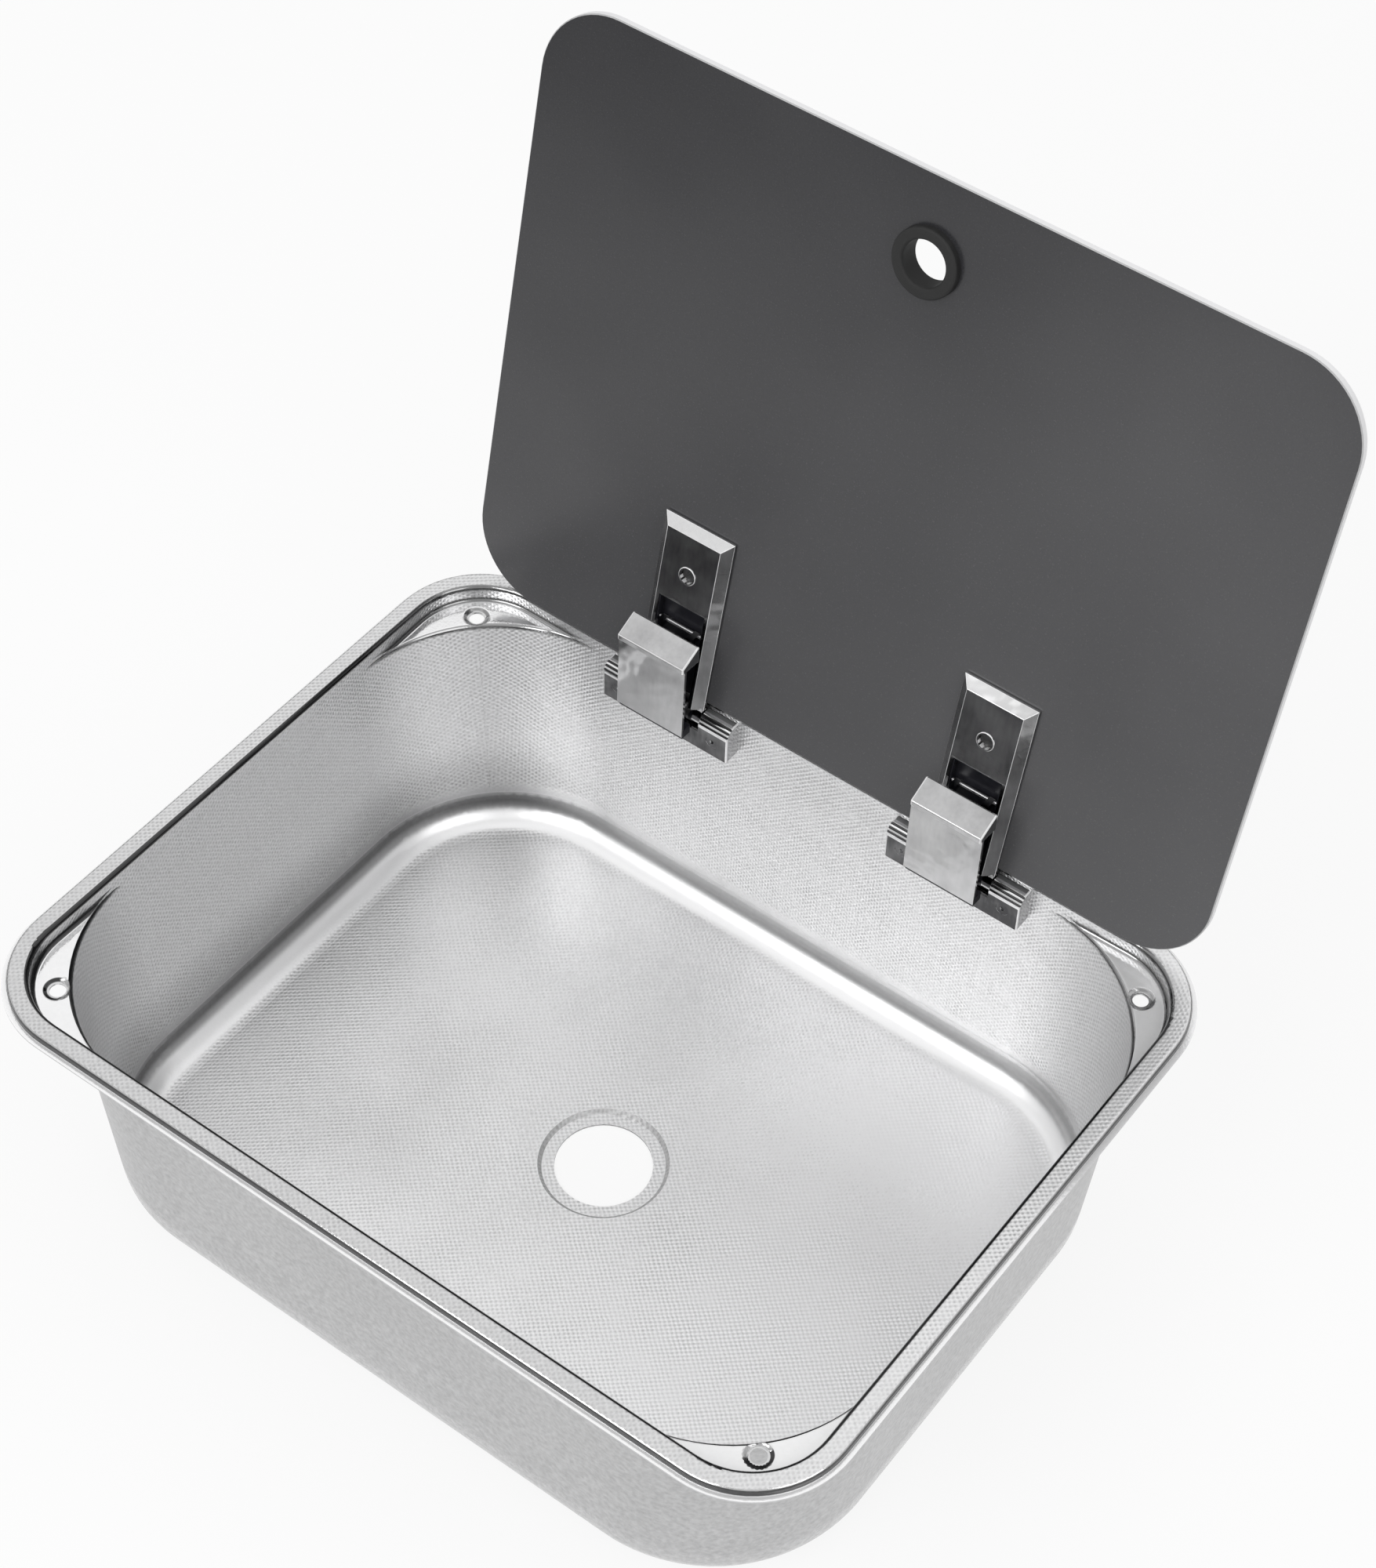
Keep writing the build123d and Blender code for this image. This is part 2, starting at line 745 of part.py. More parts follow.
    # -- dark liner in the window of the lid plate
    liner_half = window_half - liner_gap
    liner_top = window_top - liner_gap
    with BuildPart() as liner:
        with BuildSketch(lid_plane(0)) as outline:
            with Locations((centre, (liner_top + pad_low) / 2)):
                Rectangle(2 * liner_half, liner_top - pad_low)
        extrude(outline.sketch, amount=liner_height)
        with BuildSketch(lid_plane(liner_floor)) as hollow:
            with Locations((centre, (liner_top - liner_wall) / 2)):
                Rectangle(2 * (liner_half - liner_wall), liner_top - liner_wall)
        extrude(hollow.sketch, amount=liner_height, mode=Mode.SUBTRACT)
    save(liner, side + "_hinge_window_liner")

    # -- slotted screw that clamps the glass, its bush in the glass and the cap nut behind
    screw_seat = plate_front - lid_screw_sink
    screw_end = -glass_thickness - cap_height + cap_wall + lid_screw_gap
    with BuildPart() as lid_screw:
        add_disc(
            lid_plane(screw_seat), centre, lid_screw_u, lid_screw_head_radius, lid_screw_head_height
        )
        add_disc(
            lid_plane(screw_end), centre, lid_screw_u, lid_screw_radius, screw_seat - screw_end
        )
        with BuildSketch(lid_plane(screw_seat + lid_screw_head_height - slot_depth)) as slot:
            with Locations((centre, lid_screw_u)):
                Rectangle(3 * lid_screw_head_radius, slot_width, rotation=slot_turn)
        extrude(slot.sketch, amount=slot_depth, mode=Mode.SUBTRACT)
    save(lid_screw, side + "_hinge_lid_screw")

    with BuildPart() as bush:
        add_disc(glass_back, centre, lid_screw_u, bush_outer_radius, glass_thickness)
        add_disc(
            glass_back, centre, lid_screw_u, bush_inner_radius, glass_thickness, Mode.SUBTRACT
        )
    save(bush, side + "_hinge_glass_bush")

    with BuildPart() as cap:
        add_disc(
            lid_plane(-glass_thickness - cap_height), centre, lid_screw_u, cap_radius, cap_height
        )
        fillet(cap.edges().filter_by(GeomType.CIRCLE).sort_by(lid_normal)[0], cap_round)
        add_disc(
            lid_plane(-glass_thickness - cap_height + cap_wall),
            centre,
            lid_screw_u,
            lid_screw_radius + snug,
            cap_height - cap_wall,
            Mode.SUBTRACT,
        )
    save(cap, side + "_hinge_cap_nut")

    # -- stay cover: thin apron, wedge-shaped hood and two lugs that reach into the window
    with BuildPart() as apron:
        add_slab(
            [apron_foot, apron_head, hood_front_low, apron_back_foot],
            centre - apron_half,
            centre + apron_half,
        )
        fillet(apron.faces().sort_by(Axis.Y)[0].edges(), apron_round)
    with BuildPart() as cover:
        add_slab(
            [lip_low, lip_top, hood_rear_top, hood_rear_low, hood_front_low],
            centre - apron_half,
            centre + apron_half,
        )
        fillet(cover.edges(), hood_round)
        add(apron.part)
        for low, high in ((-lug_outer, -lug_inner), (lug_inner, lug_outer)):
            add_slab(
                [
                    (hood_rear_top[0], stay_tip_z + lug_radius + lug_rise),
                    (stay_tip_y, stay_tip_z + lug_radius),
                    (stay_tip_y, stay_tip_z - lug_radius),
                    (hood_rear_top[0], stay_tip_z - lug_radius),
                ],
                centre + low,
                centre + high,
            )
            add_rod(stay_tip_y, stay_tip_z, lug_radius, centre + low, centre + high)
            add_rod(
                stay_tip_y,
                stay_tip_z,
                slide_pin_radius + snug,
                centre + low,
                centre + high,
                Mode.SUBTRACT,
            )
    save(cover, side + "_stay_cover")

    # -- slide pin across the two lugs
    with BuildPart() as slide_pin:
        add_rod(
            stay_tip_y,
            stay_tip_z,
            slide_pin_radius,
            centre - slide_pin_half,
            centre + slide_pin_half,
        )
    save(slide_pin, side + "_stay_slide_pin")

    # -- dark core behind the apron, with a foot and two ears on the stay pin
    with BuildPart() as core:
        add_slab(
            [
                core_toe,
                core_front_top,
                core_rear_top,
                core_waist,
                core_ankle,
                core_heel,
            ],
            centre - core_half,
            centre + core_half,
        )
        add_slab(
            [
                core_toe,
                (core_toe[0] + foot_gap, core_ankle[1]),
                (core_heel[0], core_ankle[1]),
                core_heel,
            ],
            centre - foot_half,
            centre + foot_half,
        )
        for low, high in ((-stay_ear_outer, -stay_ear_inner), (stay_ear_inner, stay_ear_outer)):
            add_slab(
                [
                    core_toe,
                    (core_heel[0], core_heel[1] + ear_rise),
                    (stay_y, stay_z + stay_eye_radius),
                    ear_chin,
                ],
                centre + low,
                centre + high,
            )
            add_rod(stay_y, stay_z, stay_eye_radius, centre + low, centre + high)
            add_rod(
                stay_y,
                stay_z,
                stay_pin_radius + running_gap,
                centre + low,
                centre + high,
                Mode.SUBTRACT,
            )
    save(core, side + "_stay_core")

    # -- screws, washers and nuts that hold the base bar to the rear wall
    screw_places = (centre - wall_screw_x, centre + wall_screw_x)
    with BuildPart() as wall_screws:
        for x in screw_places:
            add_disc(
                screw_face.offset(-wall_head_height),
                x,
                0,
                wall_head_radius,
                wall_head_height - wall_head_inset,
            )
            add_disc(
                wall_plane.offset(tail_level),
                x,
                0,
                wall_screw_radius,
                screw_face_height - wall_head_height - tail_level,
            )
            with BuildSketch(screw_face.offset(-wall_head_inset - wall_socket_depth)) as socket:
                with Locations((x, 0)):
                    RegularPolygon(wall_socket_radius, 6)
            extrude(socket.sketch, amount=wall_socket_depth, mode=Mode.SUBTRACT)
    save(wall_screws, side + "_hinge_wall_screws")

    with BuildPart() as wall_washers:
        for x in screw_places:
            washer_foot = wall_plane.offset(nut_seat - wall_washer_thickness)
            add_disc(washer_foot, x, 0, wall_washer_radius, wall_washer_thickness)
            add_disc(
                washer_foot,
                x,
                0,
                wall_screw_radius + wall_screw_gap,
                wall_washer_thickness,
                Mode.SUBTRACT,
            )
    save(wall_washers, side + "_hinge_wall_washers")

    with BuildPart() as wall_nuts:
        for x in screw_places:
            nut_foot = wall_plane.offset(nut_seat - wall_washer_thickness - wall_nut_height)
            with BuildSketch(nut_foot) as outline:
                with Locations((x, 0)):
                    RegularPolygon(wall_nut_radius, 6)
                    Circle(wall_screw_radius + snug, mode=Mode.SUBTRACT)
            extrude(outline.sketch, amount=wall_nut_height)
    save(wall_nuts, side + "_hinge_wall_nuts")
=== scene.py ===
"""Looks of a drop-in camper sink with a smoked glass lid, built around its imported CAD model."""
from math import cos, pi, radians, sin

import bpy
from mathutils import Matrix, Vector


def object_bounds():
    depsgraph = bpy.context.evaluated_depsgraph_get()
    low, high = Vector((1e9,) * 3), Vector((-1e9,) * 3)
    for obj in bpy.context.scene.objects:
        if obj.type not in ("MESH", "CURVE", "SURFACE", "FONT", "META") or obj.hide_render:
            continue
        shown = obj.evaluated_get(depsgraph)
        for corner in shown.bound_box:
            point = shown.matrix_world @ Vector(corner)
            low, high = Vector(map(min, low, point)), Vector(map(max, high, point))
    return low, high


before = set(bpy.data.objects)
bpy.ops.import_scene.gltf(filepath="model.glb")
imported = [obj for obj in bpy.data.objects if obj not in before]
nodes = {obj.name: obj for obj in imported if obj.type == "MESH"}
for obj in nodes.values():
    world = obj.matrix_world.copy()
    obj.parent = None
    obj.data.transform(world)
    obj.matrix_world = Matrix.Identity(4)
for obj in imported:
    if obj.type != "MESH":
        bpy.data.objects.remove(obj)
cad_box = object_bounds()


# Bowl: one deep-drawn stainless sheet, 0.8 mm. The sheet carries a woven linen pattern from the
# roll, which the press rubs smooth on every bend, and its outside keeps cloudy drawing marks.
class Value:
    """A number that varies over a surface; sums and products of values add the nodes for them."""

    def __init__(self, finish, socket):
        self.finish = finish
        self.socket = socket

    def __add__(self, other):
        return self.finish.maths("ADD", self, other)

    __radd__ = __add__

    def __mul__(self, other):
        return self.finish.maths("MULTIPLY", self, other)

    __rmul__ = __mul__

    def __sub__(self, other):
        return self.finish.maths("SUBTRACT", self, other)

    def __rsub__(self, other):
        return self.finish.maths("SUBTRACT", other, self)


class Finish:
    """The finish of one kind of surface: a material whose nodes start from a plain shader."""

    def __init__(self, name, kind=bpy.data.materials, shader="Principled BSDF", **constants):
        self.material = kind.new(name)
        self.material.use_nodes = True
        self.tree = self.material.node_tree
        self.shader = self.tree.nodes[shader]
        for socket, value in constants.items():
            self.shader.inputs[socket.replace("_", " ")].default_value = value
        self.place = self.add("ShaderNodeTexCoord", output="Object")
        self.facing = self.add("ShaderNodeTexCoord", output="Normal")

    def add(self, kind, settings=(), inputs=(), output=0):
        """One node: its settings come first, then the values or links of its sockets."""
        node = self.tree.nodes.new(kind)
        for name, value in dict(settings).items():
            if name == "stops":
                ramp = node.color_ramp.elements
                while len(ramp) < len(value):
                    ramp.new(0.5)
                for stop, (position, grey) in zip(ramp, value):
                    stop.position = position
                    stop.color = (grey, grey, grey, 1)
            else:
                setattr(node, name, value)
        for name, value in dict(inputs).items():
            if isinstance(value, Value):
                self.tree.links.new(value.socket, node.inputs[name])
            else:
                node.inputs[name].default_value = value
        return Value(self, node.outputs[output])

    def maths(self, operation, *inputs):
        return self.add("ShaderNodeMath", {"operation": operation}, dict(enumerate(inputs)))

    def measure(self, operation, one, other):
        """Number from two directions or places, such as the distance between them."""
        return self.add(
            "ShaderNodeVectorMath",
            {"operation": operation},
            {0: one, 1: other},
            output="Value",
        )

    def stretched(self, scale):
        """Place on the object, stretched for a pattern."""
        return self.add("ShaderNodeMapping", inputs={"Vector": self.place, "Scale": scale})

    def along(self, name, vector=None):
        """One axis of a place or a direction."""
        return self.add(
            "ShaderNodeSeparateXYZ", inputs={"Vector": vector or self.place}, output=name
        )

    def noise(self, scale, detail, vector=None):
        return self.add(
            "ShaderNodeTexNoise",
            inputs={"Vector": vector or self.place, "Scale": scale, "Detail": detail},
        )

    def ramp(self, value, *stops):
        """Grey that follows the stops, each with its position and its grey level."""
        return self.add("ShaderNodeValToRGB", {"stops": stops}, {"Fac": value})

    def blend(self, share, one, other):
        """Colour that goes from one to the other with the share."""
        return self.add(
            "ShaderNodeMix",
            {"data_type": "RGBA"},
            {"Factor": share, 6: one, 7: other},
            output=2,
        )

    def step(self, value, past, over):
        """Goes from 0 to 1 as the value gets past a level, over a width that may be negative."""
        return self.add(
            "ShaderNodeMapRange",
            {"interpolation_type": "SMOOTHSTEP"},
            {"Value": value, "From Min": past, "From Max": past + over},
        )

    def bump(self, height, distance, strength=1.0):
        return self.add(
            "ShaderNodeBump",
            inputs={"Height": height, "Distance": distance, "Strength": strength},
        )

    def link(self, **sockets):
        for name, value in sockets.items():
            self.tree.links.new(value.socket, self.shader.inputs[name.replace("_", " ")])

    def cover(self, *names):
        """Give this finish to CAD nodes."""
        for name in names:
            mesh = nodes[name].data
            mesh.materials.clear()
            mesh.materials.append(self.material)


def grey(level, tint=0.0):
    """Plain grey, or one with a little more blue."""
    return (level, level, level + tint, 1)


steel = Finish("drawn_steel")
rightward = steel.along("X")
rearward = steel.along("Y")
height = steel.along("Z")
facing_up = steel.along("Z", steel.facing)
facing_side = steel.maths("ABSOLUTE", steel.along("X", steel.facing))
outward = steel.measure("DOT_PRODUCT", steel.facing, steel.stretched((1, 1, 0)))
faces_out = steel.step(outward, past=0.002, over=0.02)
faces_in = 1 - faces_out
upright = steel.step(facing_up, past=0.5, over=-0.3)
right_end = steel.step(rightward, past=0.08, over=0.12)
rear_end = steel.step(rearward, past=0.0, over=0.12)

# Levels of the bowl's parts, in metres above the worktop. The lip rests on the worktop, and all
# that is below it hangs in the cutout.
flange_level = 0.0046
wall_top_level = 0.0030
side_foot_level = 0.0011
lip_level = 0.0016
shelf_level = -0.0037
mouth_level = -0.0065
foot_shade_level = -0.0700
foot_level = -0.1080
wall_foot_level = -0.1100
floor_level = -0.1248
seat_level = -0.1263

# Flat parts keep the linen. Bends are rubbed smooth; the dark lines they show by mirroring what is
# dark around them are painted into the colour as painted reflections, and the wide bend round the
# floor has a painted highlight beside its painted dark line.
on_flange = steel.step(height, past=flange_level, over=0.0001)
on_floor = steel.step(height, past=floor_level, over=-0.0006)
on_wall = (
    steel.step(height, past=wall_foot_level, over=0.008)
    * steel.step(height, past=wall_top_level, over=-0.001)
    * upright
)
on_inner_wall = on_wall * faces_in
near_floor = steel.step(height, past=wall_foot_level, over=-0.004) * faces_in
# Outside of the sheet: the colour below gives it painted shade, with its real drawing marks in it.
outside = faces_out * steel.step(height, past=-0.0005, over=-0.0005)
# Painted shade on the outer side of the rim.
rim_side_painted_shade = (
    faces_out
    * steel.step(height, past=side_foot_level, over=0.0003)
    * steel.step(facing_up, past=0.75, over=-0.3)
)
# Painted highlight on the lip, which is also made less metallic so it reads white.
lip = (
    steel.step(height, past=lip_level, over=-0.0002)
    * steel.step(height, past=0.0, over=0.0002)
    * steel.step(facing_up, past=0.9, over=0.05)
)
# Painted highlight on the corner shelves, also less metallic towards the right.
shelf = (
    steel.step(height, past=shelf_level - 0.0007, over=0.0002)
    * steel.step(height, past=shelf_level + 0.0002, over=-0.0001)
    * steel.step(facing_up, past=0.9, over=0.08)
)
# Painted shade on the walls of the shelf recesses, lighter towards the rear.
recess_wall_painted_shade = (
    steel.step(height, past=shelf_level + 0.00005, over=0.0001)
    * steel.step(facing_up, past=0.995, over=-0.04)
    * steel.step(facing_side, past=0.05, over=0.2)
    * steel.step(facing_side, past=0.995, over=-0.05)
    * faces_in
)
bend = steel.step(facing_up, past=0.05, over=0.2) * steel.step(facing_up, past=0.99, over=-0.05)
# Painted dark line: the mouth bend under the flange gets a painted reflection of the dark lid.
rim_bend_painted_line = bend * steel.step(height, past=mouth_level, over=0.001) * faces_in
at_foot = steel.step(height, past=foot_level, over=-0.002)
# Painted dark line along the upper part of the wide bend round the floor.
foot_bend_painted_line = bend * at_foot * steel.step(facing_up, past=0.6, over=-0.25)
# Painted highlight along the lower part of the floor bend, also made less metallic so it reads
# whiter.
foot_painted_highlight = (
    at_foot
    * steel.step(facing_up, past=0.55, over=0.15)
    * steel.step(facing_up, past=0.985, over=-0.03)
)
# Painted shade on the foot of the left wall, above the floor bend.
foot_painted_shade = (
    steel.step(height, past=foot_shade_level, over=-0.035)
    * steel.step(facing_up, past=0.75, over=-0.2)
    * steel.step(rightward, past=-0.09, over=-0.08)
    * faces_in
)
# Painted dark line round the drain seat.
seat_bend_painted_line = (
    steel.step(facing_up, past=0.995, over=-0.04)
    * steel.step(height, past=seat_level, over=-0.0004)
)

# The linen is a staggered weave that follows the sides of the sink, level and down on the walls.
# It wanders a little, and is fainter where the press has worn it.
linen_width = 0.00303
linen_height = 0.00259
linen_slack = 0.0008
side_wall = steel.step(facing_side, past=0.7, over=0.001) * upright
slack = steel.noise(scale=220.0, detail=2.0) * linen_slack
across = rightward * (1 - side_wall) + rearward * side_wall + slack
along = rearward * (1 - upright) + height * upright + slack
warp = steel.maths("SINE", across * (2 * pi / linen_width))
weft = steel.maths("SINE", along * (2 * pi / linen_height))
pressed = steel.noise(scale=90.0, detail=3.0) * 1.6 + 0.2
linen = (warp * weft - warp * warp * 0.6 + 0.3) * pressed
rolled = on_flange * 0.8 + on_floor * 0.9 + on_inner_wall * 1.1

# Cloudy drawing marks and fine grain lie all over the sheet. Then each part gets painted light or
# painted shade against the plain sheet: the outside gets painted shade under its real drawing
# marks, the inner walls and the foot of the walls get painted light, and the flange and floor get
# painted light towards the right.
clouds = steel.noise(scale=14.0, detail=3.0)
mottle = steel.noise(scale=420.0, detail=6.0)
pebbles = steel.noise(scale=900.0, detail=2.0)
tone = steel.ramp(clouds * 0.5 + mottle * 0.35 + pebbles * 0.15, (0.3, 0.0), (0.7, 1.0))
plain_sheet = 0.572
# Painted light: the flange is painted lighter towards the rear and right, and the floor towards
# the right; the clouds in the floor are its own random tone.
flange_painted_light = 0.08 + rearward * 0.5 + steel.step(rightward, past=0.1, over=0.2) * 0.2
floor_tone_and_painted_light = 0.13 + steel.step(rightward, past=-0.06, over=0.2) * 0.18 + (clouds - 0.5) * 0.3
# Painted light: the flange, floor, inner walls and foot of the walls are painted lighter than the
# plain sheet, with painted highlights on the floor bend, lip and shelves; tone is the sheet's own
# random tone.
tone_and_painted_light = (
    tone * 0.08
    + on_flange * flange_painted_light
    + on_floor * floor_tone_and_painted_light
    + on_inner_wall * 0.11
    + near_floor * 0.16
    + foot_painted_highlight * 0.25
    + lip * 0.4
    + shelf * 0.25
)
# Painted shade: the outside, the rim side, the bends, the recess walls and the left wall foot are
# painted darker; the mottle in the outside is its real drawing marks.
marks_and_painted_shade = (
    outside * (0.27 - mottle * 0.32)
    + rim_bend_painted_line * (0.65 - rear_end * 0.35)
    + rim_side_painted_shade * 0.6
    + recess_wall_painted_shade * (0.5 - rear_end * 0.4)
    + foot_bend_painted_line * 0.4
    + foot_painted_shade * 0.26
    + seat_bend_painted_line * 0.65
)
steel.link(
    Base_Color=steel.blend(
        plain_sheet + tone_and_painted_light - marks_and_painted_shade + rolled * (linen * 0.09 + (pebbles - 0.5) * 0.3),
        grey(0.08, tint=0.001),
        grey(0.95, tint=0.005),
    ),
    Roughness=0.08
    + on_flange * 0.22
    + on_wall * 0.25
    + near_floor * 0.2
    + on_floor * 0.15
    + clouds * 0.06,
    Metallic=1 - lip * 0.6 - (shelf + on_flange * 0.4) * right_end * 0.6 - foot_painted_highlight * 0.3,
    Normal=steel.bump(linen * rolled * 0.2 + outside * mottle + pebbles * 0.1, distance=0.0003),
)
steel.cover("bowl")

# Sealing strip: closed-cell foam glued into the hollow under the rim, which it seals against the
# worktop. Its cut cells show as fine pores.
foam = Finish("seal_foam", Roughness=0.9)
cells = foam.noise(scale=900.0, detail=2.0)
foam.link(
    Base_Color=foam.blend(cells, grey(0.03), grey(0.09)),
    Normal=foam.bump(cells, distance=0.0003),
)
foam.cover("rim_seal")

# Lid: 4 mm toughened glass, smoked nearly black, with a ground edge that catches the light. Its
# faces have a slight orange peel from toughening, the haze of a wiped surface, and a painted
# reflection that lightens them towards the right and towards the bottom.
glass = Finish("smoked_glass", IOR=1.46)
lid_lean = radians(12.4)
lid_front = (0, -cos(lid_lean), sin(lid_lean))
face_on = glass.maths("ABSOLUTE", glass.measure("DOT_PRODUCT", glass.facing, lid_front))
on_edge = glass.step(face_on, past=0.98, over=-0.02)
on_arris = on_edge * glass.step(face_on, past=0.2, over=0.1)
wipe = glass.noise(scale=6.0, detail=2.0)
peel = glass.noise(scale=1400.0, detail=2.0)
# Painted reflection: the glass is painted lighter towards the right and towards the bottom; the
# wipe and the peel are its haze and orange peel.
haze_and_painted_reflection = 0.85 + glass.along("X") * 1.8 - glass.along("Z") * 3.7 + wipe + peel * 0.3
glass.link(
    Base_Color=glass.blend(
        haze_and_painted_reflection * (1 - on_edge) * 0.08 + on_edge - on_arris * 0.45,
        grey(0.002, tint=0.003),
        grey(0.86, tint=0.01),
    ),
    Roughness=0.22 + peel * 0.08 + on_edge * 0.2,
    Normal=glass.bump(peel, distance=0.00003, strength=0.5),
)
glass.cover("glass_lid")

# Grommet: a black rubber ring pressed into the tap hole. The same rubber makes the thin pads
# between the glass and the hinge plates.
rubber = Finish("grommet_rubber")
dust = rubber.noise(scale=320.0, detail=3.0)
rubber.link(
    Base_Color=rubber.blend(dust, grey(0.010), grey(0.026)),
    Roughness=0.6 + dust * 0.25,
    Normal=rubber.bump(dust, distance=0.0001, strength=0.5),
)
rubber.cover("tap_grommet")


def both_hinges(part):
    return ["left_" + part, "right_" + part]


rubber.cover(*both_hinges("hinge_glass_pad"))


# Hinge castings, plates and stay covers: zinc and steel with a bright nickel-chrome plating,
# slightly wavy on the broad faces. They are screwed to the rear wall and clamped to the glass.
def plated(name, shaded_side, face_shade, bevelled=0, ridged=0):
    """Bright plating: painted highlights on its edges, painted shade on faces that look one way.

    A bevelled piece has painted shade on the bevel at its sides and a painted highlight on the
    one on top. A ridged piece has a painted dark band and a painted highlight beside it in the
    round top of its end blocks, around the lid pin.
    """
    chrome = Finish(name)
    haze = chrome.noise(scale=45.0, detail=3.0)
    ripple = chrome.noise(scale=110.0, detail=1.0)
    rub = chrome.noise(scale=500.0, detail=3.0, vector=chrome.stretched((1, 1, 0.2)))
    towards_shaded_side = chrome.measure("DOT_PRODUCT", chrome.facing, shaded_side)
    shaded_face = chrome.step(towards_shaded_side, past=0.99, over=0.008)
    sideways = chrome.maths("ABSOLUTE", chrome.along("X", chrome.facing))
    upwards = chrome.along("Z", chrome.facing)
    side_bevel_shade = (
        chrome.step(sideways, past=0.55, over=0.05)
        * chrome.step(sideways, past=0.8, over=-0.05)
        * bevelled
    )
    top_bevel_highlight = chrome.step(upwards, past=0.8, over=0.02) * bevelled
    upright_edges = (
        chrome.step(sideways, past=0.1, over=0.1) * chrome.step(sideways, past=0.97, over=-0.07)
    )
    level_edges = (
        chrome.step(upwards, past=0.25, over=0.1) * chrome.step(upwards, past=0.83, over=-0.04)
    )
    edge_highlight = (upright_edges + level_edges) * (1 - side_bevel_shade)

    pin_place = (0, 0.1493, -0.0031)
    groove_foot = 0.0041
    groove_mouth = 0.0047
    block_round = 0.0049
    from_pin = chrome.measure("DISTANCE", chrome.stretched((0, 1, 1)), pin_place)
    around_pin = (
        chrome.step(from_pin, past=groove_foot, over=0.0001)
        * chrome.step(sideways, past=0.6, over=-0.2)
    )
    painted_dark_band = around_pin * chrome.step(from_pin, past=groove_mouth, over=-0.0001)
    painted_bright_band = around_pin * chrome.step(from_pin, past=block_round, over=-0.00005) - painted_dark_band

    # Painted light and shade on the plating: edge highlights, shade on faces that look one way and
    # on side bevels, highlights on top bevels and the painted bands of ridged blocks; haze and rub
    # are the plating's own tone.
    brightness = (
        0.2
        + haze * 0.42
        + rub * 0.12
        + edge_highlight * 0.9
        - shaded_face * face_shade
        - side_bevel_shade * 0.2
        + top_bevel_highlight * 0.4
        + (painted_bright_band * 0.6 - painted_dark_band * 1.5) * ridged
    )
    chrome.link(
        Base_Color=chrome.blend(brightness, grey(0.05, tint=0.002), grey(0.92, tint=0.005)),
        Metallic=1 - edge_highlight * 0.7,
        Roughness=0.04 + haze * 0.08 + rub * 0.04,
        Normal=chrome.bump(ripple, distance=0.0008, strength=0.3),
    )
    return chrome


# Painted shade: plates are painted darker on the faces that look to the lid's front, castings on
# the faces that look forward; the covers get none.
plate_chrome = plated("plate_chrome", shaded_side=lid_front, face_shade=0.3, bevelled=1)
plate_chrome.cover(*both_hinges("hinge_lid_plate"))
casting_chrome = plated("casting_chrome", shaded_side=(0, -1, 0), face_shade=0.42, ridged=1)
casting_chrome.cover(
    *both_hinges("hinge_base"),
    *both_hinges("hinge_cap_nut"),
    *both_hinges("hinge_wall_screws"),
)
cover_chrome = plated("cover_chrome", shaded_side=(0, 0, 1), face_shade=0.0)
cover_chrome.cover(*both_hinges("stay_cover"))

# Lid screws: slotted countersunk screws of blackened steel, sunk in the ring of each lid plate.
# They pass through the glass and pull the plate, pad and cap nut together.
blackened = Finish("blackened_screw", Metallic=1.0)
scuff = blackened.noise(scale=700.0, detail=3.0)
blackened.link(
    Base_Color=blackened.blend(scuff, grey(0.05), grey(0.16)),
    Roughness=0.25 + scuff * 0.2,
)
blackened.cover(*both_hinges("hinge_lid_screw"))

# Pins, washers and springs: turned or stamped steel, left bright, with the fine marks of the
# tool. They are pressed or screwed together inside the hinges and behind the rear wall.
turned = Finish("turned_steel", Metallic=1.0)
grain = turned.noise(scale=500.0, detail=3.0, vector=turned.stretched((4, 1, 1)))
turned.link(
    Base_Color=turned.blend(grain, grey(0.45, tint=0.01), grey(0.62, tint=0.01)),
    Roughness=0.25 + grain * 0.2,
)
turned.cover(
    *both_hinges("hinge_lid_pin"),
    *both_hinges("hinge_stay_pin"),
    *both_hinges("stay_slide_pin"),
    *both_hinges("hinge_plain_washers"),
    *both_hinges("hinge_disc_springs"),
    *both_hinges("hinge_wall_washers"),
    *both_hinges("hinge_wall_nuts"),
)

# Dark moulded parts of the hinges: stay core, window liner, friction discs and glass bush. They
# are black nylon with a satin skin.
moulded = Finish("black_plastic")
flow = moulded.noise(scale=260.0, detail=3.0)
moulded.link(
    Base_Color=moulded.blend(flow, grey(0.008, tint=0.003), grey(0.022, tint=0.006)),
    Roughness=0.25 + flow * 0.2,
    Normal=moulded.bump(flow, distance=0.0002, strength=0.4),
)
moulded.cover(
    *both_hinges("stay_core"),
    *both_hinges("hinge_window_liner"),
    *both_hinges("hinge_friction_discs"),
    *both_hinges("hinge_glass_bush"),
)

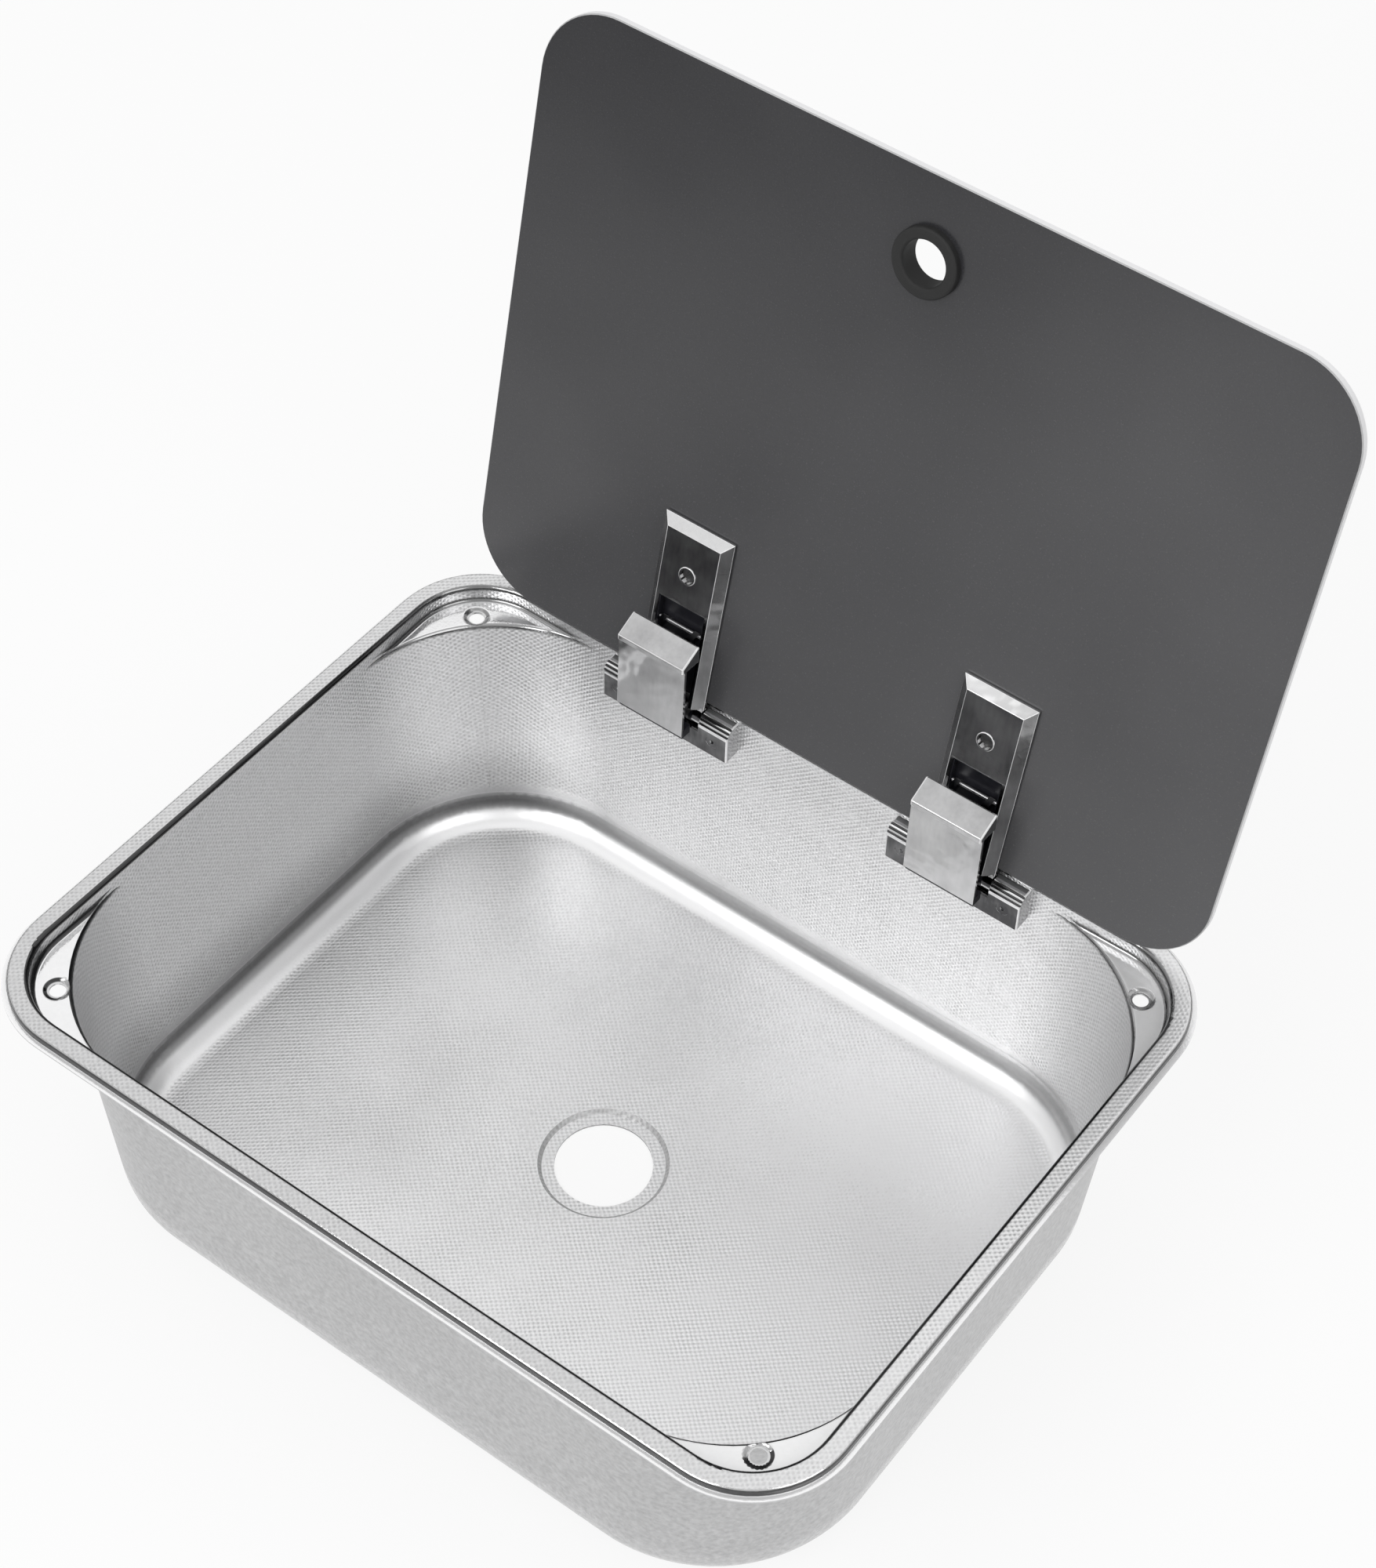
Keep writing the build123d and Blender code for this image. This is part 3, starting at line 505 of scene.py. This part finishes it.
# Studio: a white floor, a surround that is bright above and dim near the horizon, so that bends
# in the metal show a dark line, and three broad soft lamps.
bpy.ops.object.select_all(action="DESELECT")
ground_level = cad_box[0][2]
bpy.ops.mesh.primitive_plane_add(size=12, location=(0, 0, ground_level))
floor = bpy.context.object
floor.name = "floor"
paper = Finish("floor_paper", Base_Color=grey(0.85), Roughness=0.8)
camera_ray, glossy_ray, glass_ray = [
    paper.add("ShaderNodeLightPath", output="Is " + ray + " Ray")
    for ray in ("Camera", "Glossy", "Transmission")
]
white_share = 0.85
white = paper.add("ShaderNodeEmission", inputs={"Color": grey(1.0), "Strength": 1.0})
shown = paper.add(
    "ShaderNodeMixShader",
    inputs={
        0: (camera_ray + glossy_ray + glass_ray) * white_share,
        1: Value(paper, paper.shader.outputs[0]),
        2: white,
    },
)
paper.tree.links.new(shown.socket, paper.tree.nodes["Material Output"].inputs["Surface"])
floor.data.materials.append(paper.material)

surround = Finish("surround", bpy.data.worlds, "Background")
bpy.context.scene.world = surround.material
elevation = surround.along("Z", surround.add("ShaderNodeTexCoord", output="Generated"))
sky = ((0.0, 0.3), (0.08, 0.1), (0.2, 0.2), (0.38, 0.7), (1.0, 0.75))
surround.link(
    Color=surround.blend(
        surround.add("ShaderNodeLightPath", output="Is Camera Ray"),
        surround.ramp(elevation, *sky),
        grey(1.0),
    )
)


def softbox(name, place, width, depth, power):
    """Soft lamp that looks at the sink."""
    lamp = bpy.data.lights.new(name, "AREA")
    lamp.shape = "RECTANGLE"
    lamp.size = width
    lamp.size_y = depth
    lamp.energy = power
    holder = bpy.data.objects.new(name, lamp)
    holder.location = place
    holder.rotation_euler = (-Vector(place)).to_track_quat("-Z", "Y").to_euler()
    bpy.context.scene.collection.objects.link(holder)


softbox("overhead", place=(-0.4, 0.5, 1.7), width=2.4, depth=2.0, power=5.0)
softbox("front", place=(-0.25, -1.9, 1.6), width=1.4, depth=1.2, power=18.0)
softbox("right", place=(1.4, -0.3, 1.4), width=1.0, depth=1.0, power=5.0)

# Camera: it stands where the photograph was taken from, in front and to the right of the sink,
# and looks down into the bowl, with the sink a little beside the middle of the picture.
lens = bpy.data.cameras.new("camera")
lens.lens = 75.82
lens.shift_x = -0.0748
lens.shift_y = 0.0233
camera = bpy.data.objects.new("camera", lens)
camera.location = (0.51735, -0.66239, 1.09359)
camera.rotation_euler = [radians(angle) for angle in (40.503, -2.655, 35.718)]
bpy.context.scene.collection.objects.link(camera)
bpy.context.scene.camera = camera
bpy.context.scene.view_settings.view_transform = "Standard"
